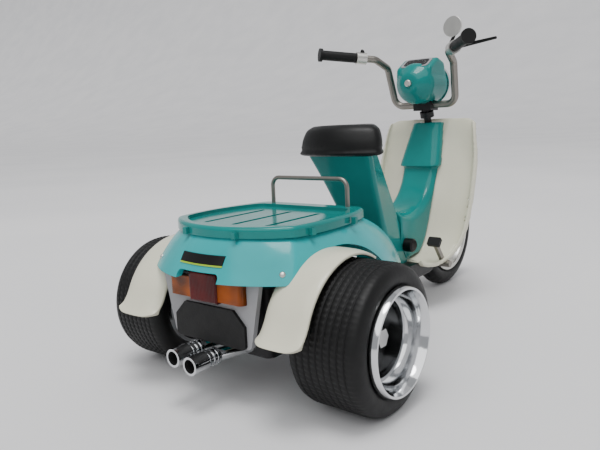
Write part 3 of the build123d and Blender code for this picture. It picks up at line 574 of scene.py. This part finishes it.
def add_dome(name, finish, body, place, outward, radius, rise, rings=5, steps=20):
    """Low round head, such as a rivet or a button, on a surface."""
    mesh = bmesh.new()
    turn = Vector(outward).to_track_quat("Z", "Y").to_matrix()
    circles = []
    for ring in range(rings - 1):
        angle = pi / 2 * ring / (rings - 1)
        reach = cos(angle) * radius
        circle = []
        for step in range(steps):
            spin = tau * step / steps
            spot = Vector((cos(spin) * reach, sin(spin) * reach, sin(angle) * rise))
            circle.append(mesh.verts.new(Vector(place) + turn @ spot * MM))
        circles.append(circle)
    tip = mesh.verts.new(Vector(place) + turn @ Vector((0, 0, rise)) * MM)
    foot = [mesh.verts.new(vertex.co - turn @ Vector((0, 0, 0.2)) * MM) for vertex in circles[0]]
    for step in range(steps):
        after = (step + 1) % steps
        for lower, upper in zip([foot] + circles[:-1], circles):
            mesh.faces.new((lower[step], lower[after], upper[after], upper[step]))
        mesh.faces.new((circles[-1][step], circles[-1][after], tip))
    mesh.faces.new(foot[::-1])
    return finish_mesh(mesh, name, finish, body)


BADGE_HALF = 5.15
BADGE_LOW = 25.85
BADGE_SPLIT = 26.1
BADGE_TOP = 27.6
BADGE_COLUMNS = 14
RIVET_START = (40.0, 36.0, 25.0)


def add_deck_trim():
    """Blank badge plate with its border strip, and a rivet at each rear corner of the deck."""
    tree = node_tree("rear_deck")
    span = (-BADGE_HALF, BADGE_HALF)
    upper = (BADGE_SPLIT, BADGE_TOP)
    lower = (BADGE_LOW, BADGE_SPLIT)
    add_laid_plate("badge_plate", "black_plastic", tree, span, upper, 0.16, BADGE_COLUMNS)
    add_laid_plate("badge_border", "badge_green", tree, span, lower, 0.17, BADGE_COLUMNS)
    out, behind, height = RIVET_START
    for side, sign in (("left", 1), ("right", -1)):
        start = Vector((sign * out * MM, axle_y + behind * MM, height * MM))
        aim = Vector((sign * -1, -1, 0)).normalized()
        hit, normal, _, _ = tree.ray_cast(start, aim)
        if hit:
            outward = normal if normal.dot(aim) < 0 else -normal
            add_dome(f"deck_rivet_{side}", "silver", "chassis", hit, outward, 0.55, 0.3)


EXHAUST_TIPS = (("near", -0.8, 9.1), ("far", 3.4, 9.7))
EXHAUST_END = 19.8
# Tube of painted shade inside each exhaust tip: (depth, radius) pairs, closed at its far end.
SHADE_TUBE_SECTION = ((0.25, 1.24), (0.3, 1.12), (2.6, 1.12), (2.6, 0.02))
SHADE_TUBE_STEPS = 32


def add_pipe_shade_tubes():
    """Near-black matt tube, closed at its far end, inside each exhaust tip: painted shade for the dark
    depth of the pipe.
    """
    for side, x, z in EXHAUST_TIPS:
        mesh = bmesh.new()
        rings = []
        for depth, radius in SHADE_TUBE_SECTION:
            ring = []
            for step in range(SHADE_TUBE_STEPS):
                spin = tau * step / SHADE_TUBE_STEPS
                ring.append(mesh.verts.new(((x + radius * cos(spin)) * MM,
                                            axle_y + (EXHAUST_END - depth) * MM,
                                            (z + radius * sin(spin)) * MM)))
            rings.append(ring)
        for inner, outer in zip(rings, rings[1:]):
            for step in range(SHADE_TUBE_STEPS):
                after = (step + 1) % SHADE_TUBE_STEPS
                mesh.faces.new((inner[step], inner[after], outer[after], outer[step]))
        finish_mesh(mesh, f"exhaust_shade_tube_{side}", "pipe_shade_black", "chassis")


METER_REAR = (-64.4, 62.6)
METER_FRONT = (-69.2, 65.3)
METER_AHEAD = 2.5
METER_TICKS = 9
TICK_HALF = 0.09
CORNER_STEPS = 7


def add_meter():
    """Meter on the sloping top of the lamp housing's pod: a rim, a dark dial with ticks and a needle."""
    rear, front = (Vector((0, axle_y + y * MM, z * MM)) for y, z in (METER_REAR, METER_FRONT))
    along = (front - rear).normalized()
    outward = Vector((0, along.z, -along.y))
    middle = rear + along * METER_AHEAD * MM
    side = Vector((1, 0, 0))

    def slab(name, finish, half_x, half_y, low, high, centre=(0, 0)):
        """Plate with rounded corners, between two heights over the pod's top."""
        mesh = bmesh.new()
        corner = min(half_x, half_y) * 0.45
        ring = []
        for quarter, (sx, sy) in enumerate(((1, 1), (-1, 1), (-1, -1), (1, -1))):
            for step in range(CORNER_STEPS):
                angle = pi / 2 * (quarter + step / (CORNER_STEPS - 1))
                ring.append((centre[0] + sx * (half_x - corner) + corner * cos(angle),
                             centre[1] + sy * (half_y - corner) + corner * sin(angle)))
        levels = [[mesh.verts.new(middle + (side * u + along * v + outward * level) * MM) for u, v in ring]
                  for level in (low, high)]
        for step in range(len(ring)):
            after = (step + 1) % len(ring)
            mesh.faces.new((levels[0][step], levels[0][after], levels[1][after], levels[1][step]))
        mesh.faces.new(levels[1])
        mesh.faces.new(levels[0][::-1])
        return finish_mesh(mesh, name, finish, "steering", smooth=False)

    slab("meter_bezel", "grey", 3.9, 2.3, -0.6, 0.22)
    slab("meter_dial", "black_plastic", 3.3, 1.75, 0.0, 0.27)
    for tick in range(METER_TICKS):
        angle = radians(200 - 27.5 * tick)
        slab(f"meter_tick_{tick}", "silver", TICK_HALF, TICK_HALF, 0.2, 0.3,
             (2.7 * cos(angle), 1.25 * sin(angle) - 0.1))
    slab("meter_needle", "lamp_red", 0.9, 0.08, 0.2, 0.31, (-0.6, -0.2))


NUB_X = 12.9
NUB_BEHIND = -60.2


def add_switch_nub():
    """Small black button on top of the left control housing."""
    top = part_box("control_housings")[1][2]
    centre = Vector((NUB_X * MM, axle_y + NUB_BEHIND * MM, top - 0.2 * MM))
    add_dome("switch_nub", "black_plastic", "steering", centre, (0.1, 0.2, 1), 0.6, 0.9)


FLOOR_HALF = 20.0
FLOOR_BACK = 3.0
FLOOR_FRONT = -5.0
FLOOR_CURVE = 3.0
BACKDROP_TOP = 8.0
CURVE_STEPS = 12


def add_floor():
    """Plain pale floor that curves up behind the model."""
    mesh = bmesh.new()
    outline = [(FLOOR_BACK, 0.0)]
    for place in range(CURVE_STEPS + 1):
        angle = radians(90.0 * place / CURVE_STEPS)
        outline.append((FLOOR_FRONT + FLOOR_CURVE - FLOOR_CURVE * sin(angle),
                        FLOOR_CURVE - FLOOR_CURVE * cos(angle)))
    outline.append((FLOOR_FRONT, BACKDROP_TOP))
    rows = [[mesh.verts.new((x, y, z)) for y, z in outline] for x in (-FLOOR_HALF, FLOOR_HALF)]
    for place in range(len(outline) - 1):
        mesh.faces.new((rows[0][place], rows[1][place], rows[1][place + 1], rows[0][place + 1]))
    data = bpy.data.meshes.new("floor")
    mesh.to_mesh(data)
    mesh.free()
    for face in data.polygons:
        face.use_smooth = True
    floor = bpy.data.objects.new("floor", data)
    bpy.context.collection.objects.link(floor)
    material, tree, shader = new_material("pale_floor", (0.78, 0.77, 0.78), 0.8)
    tint(tree, shader, noise(tree, 6.0), (0.74, 0.735, 0.745), (0.8, 0.79, 0.795))
    data.materials.append(material)


def add_light(name, place, aim, size, power):
    """Soft round lamp at a place in metres, turned towards a point."""
    data = bpy.data.lights.new(name, "AREA")
    data.shape = "DISK"
    data.size = size
    data.energy = power
    lamp = bpy.data.objects.new(name, data)
    direction = Vector(aim) - Vector(place)
    lamp.matrix_world = Matrix.Translation(place) @ direction.to_track_quat("-Z", "Y").to_matrix().to_4x4()
    bpy.context.collection.objects.link(lamp)


def add_lights():
    """A lamp overhead, broad daylight from above, and a pale sky."""
    add_light("overhead", (-0.1, 0.15, 0.8), (0, 0, 0.03), 0.35, 3.2)
    daylight = bpy.data.lights.new("daylight", "SUN")
    daylight.energy = 1.7
    daylight.angle = radians(70)
    lamp = bpy.data.objects.new("daylight", daylight)
    lamp.rotation_euler = (radians(-28), radians(-14), 0)
    bpy.context.collection.objects.link(lamp)
    world = bpy.data.worlds.new("studio")
    world.use_nodes = True
    sky = world.node_tree.nodes["Background"]
    sky.inputs["Color"].default_value = (0.9, 0.92, 0.95, 1.0)
    sky.inputs["Strength"].default_value = 0.5
    bpy.context.scene.world = world


add_camera()
dress_nodes()
for wheel_side in ("left", "right"):
    add_rear_tyre(wheel_side, f"rear_tyre_{wheel_side}")
add_front_tyre()
add_seat()
softened("lamp_housing", "lamp_bowl", "teal", "steering", 0.28, 14)
softened("tunnel", "tunnel_cover", "teal", "chassis", 0.35, 8)
shield = softened("legshield", "shield_shell", "cream", "chassis", 0.3, 4)
round_shield_corners(shield)
clear_stem(shield)
for rim_side in ("left", "right"):
    smooth_copy(f"rear_rim_{rim_side}", "chrome", f"rear_wheel_{rim_side}")
for side_name, side_sign in (("left", 1), ("right", -1)):
    add_mudguard(side_name, side_sign)
add_deck_trim()
add_pipe_shade_tubes()
add_meter()
add_switch_nub()
add_floor()
add_lights()
